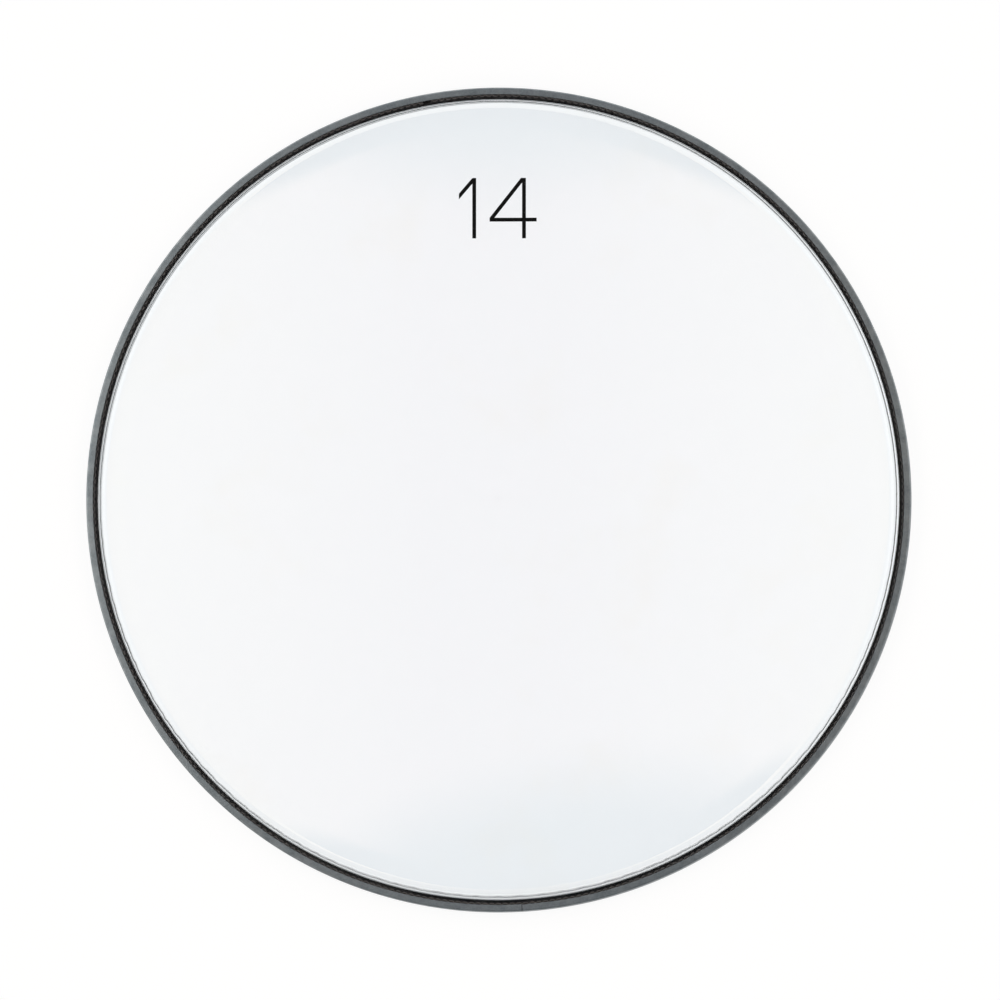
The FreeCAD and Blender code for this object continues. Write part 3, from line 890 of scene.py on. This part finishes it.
def makePanel():
    finish = bpy.data.materials.new("ceilingPanel")
    finish.use_nodes = True
    tree = finish.node_tree
    tree.nodes.clear()
    place = addNode(tree, "ShaderNodeTexCoord").outputs["Object"]
    spot = vectorNode(tree, "SUBTRACT", {0: place, 1: (*studio["panelCentre"], 0)})
    axes = addNode(tree, "ShaderNodeSeparateXYZ", {0: spot}).outputs
    toSide = mapRange(tree, mathNode(tree, "ABSOLUTE", axes["X"]), *studio["panelSpan"])
    light = mixColour(tree, toSide, studio["panelMiddle"], studio["panelSide"])
    for centre, reach in studio["dimPatches"]:
        across = mathNode(tree, "DIVIDE", mathNode(tree, "SUBTRACT", axes["X"], centre[0]), reach[0])
        along = mathNode(tree, "DIVIDE", mathNode(tree, "SUBTRACT", axes["Y"], centre[1]), reach[1])
        apart = mathNode(tree, "MULTIPLY_ADD", across, across, mathNode(tree, "MULTIPLY", along, along))
        dim = mapRange(tree, mathNode(tree, "SQRT", apart), 1.0, studio["dimCore"], smooth=True)
        light = mixColour(tree, dim, light, studio["panelDim"])
    glow = addNode(tree, "ShaderNodeEmission", {"Color": light, "Strength": 1.0})
    output = addNode(tree, "ShaderNodeOutputMaterial")
    tree.links.new(glow.outputs[0], output.inputs["Surface"])
    panel = flatSquare("ceilingPanel", studio["panelHalf"], studio["panelHeight"], finish)
    panel.visible_camera = False


def makeLamp(name, spot, size, power):
    lamp = bpy.data.lights.new(name, "AREA")
    lamp.shape = "RECTANGLE"
    lamp.size, lamp.size_y = size
    lamp.energy = power
    holder = bpy.data.objects.new(name, lamp)
    holder.location = spot
    holder.rotation_euler = (math.atan2(-spot[1], spot[2]), 0, 0)  # leans towards the head
    holder.visible_camera = False
    holder.visible_transmission = False
    bpy.context.scene.collection.objects.link(holder)
    return holder


# Lets a lamp light only the hoop and what it holds, so that the film doesn't mirror the lamp.
def lightOnly(lamp, pieces):
    lit = bpy.data.collections.new(lamp.name + "Lit")
    for piece in pieces:
        lit.objects.link(piece)
    lamp.light_linking.receiver_collection = lit


def makeWorld():
    world = bpy.data.worlds.new("studioWorld")
    world.use_nodes = True
    tree = world.node_tree
    tree.nodes.clear()
    direction = addNode(tree, "ShaderNodeTexCoord").outputs["Generated"]
    axes = addNode(tree, "ShaderNodeSeparateXYZ", {0: direction}).outputs
    sides = mathNode(tree, "MULTIPLY", mathNode(tree, "MULTIPLY", axes["X"], axes["X"]), studio["worldSides"])
    mirrored = mathNode(tree, "MULTIPLY_ADD", axes["Y"], studio["worldLean"], studio["worldMiddle"])
    horizon = mapRange(tree, axes["Z"], 0.0, studio["horizonHeight"], studio["horizonLevel"], 1.0)
    mirrored = mathNode(tree, "MULTIPLY", mathNode(tree, "ADD", mirrored, sides), horizon)
    mirrorings = addNode(tree, "ShaderNodeLightPath").outputs["Glossy Depth"]
    plain = mapRange(tree, seenRays(tree), 0.0, 1.0, studio["worldAmbient"], 1.0)
    level = mapRange(tree, mirrorings, 0.0, 1.0, plain, mirrored)
    light = addNode(tree, "ShaderNodeBackground", {"Color": (1, 1, 1, 1), "Strength": level})
    output = addNode(tree, "ShaderNodeOutputWorld")
    tree.links.new(light.outputs[0], output.inputs["Surface"])
    bpy.context.scene.world = world


makeFloor()
makePanel()
for lampName, plan in studio["lamps"].items():
    lightOnly(makeLamp(lampName, *plan), (hoopPiece, ringPiece, beadPiece))
makeWorld()


# Camera

camera = {"distance": 14.0, "tilt": 4.0, "side": 305.0, "imageSide": 1000.0, "hoopCentre": (498.83, 499.89),
          "hoopPixels": 412.6, "sensor": 36.0, "farReach": 4.0}


def makeCamera():
    perPixel = hoopRadius / camera["hoopPixels"]
    middle = camera["imageSide"] / 2
    aim = Vector(((middle - camera["hoopCentre"][0]) * perPixel,
                  (camera["hoopCentre"][1] - middle) * perPixel, hoopTop / 2))
    tilt, side = math.radians(camera["tilt"]), math.radians(camera["side"])
    lens = bpy.data.cameras.new("camera")
    lens.sensor_width = camera["sensor"]
    lens.lens = camera["sensor"] * camera["distance"] / (camera["imageSide"] * perPixel)
    lens.clip_end = camera["distance"] * camera["farReach"]
    viewer = bpy.data.objects.new("camera", lens)
    back = Vector((math.sin(tilt) * math.cos(side), math.sin(tilt) * math.sin(side), math.cos(tilt)))
    right = Vector((0, 1, 0)).cross(back).normalized()
    viewer.location = aim + back * camera["distance"]
    viewer.rotation_euler = Matrix((right, back.cross(right), back)).transposed().to_euler()
    bpy.context.scene.collection.objects.link(viewer)
    bpy.context.scene.camera = viewer


makeCamera()
bpy.context.scene.view_settings.view_transform = "Standard"
print("studio ready")
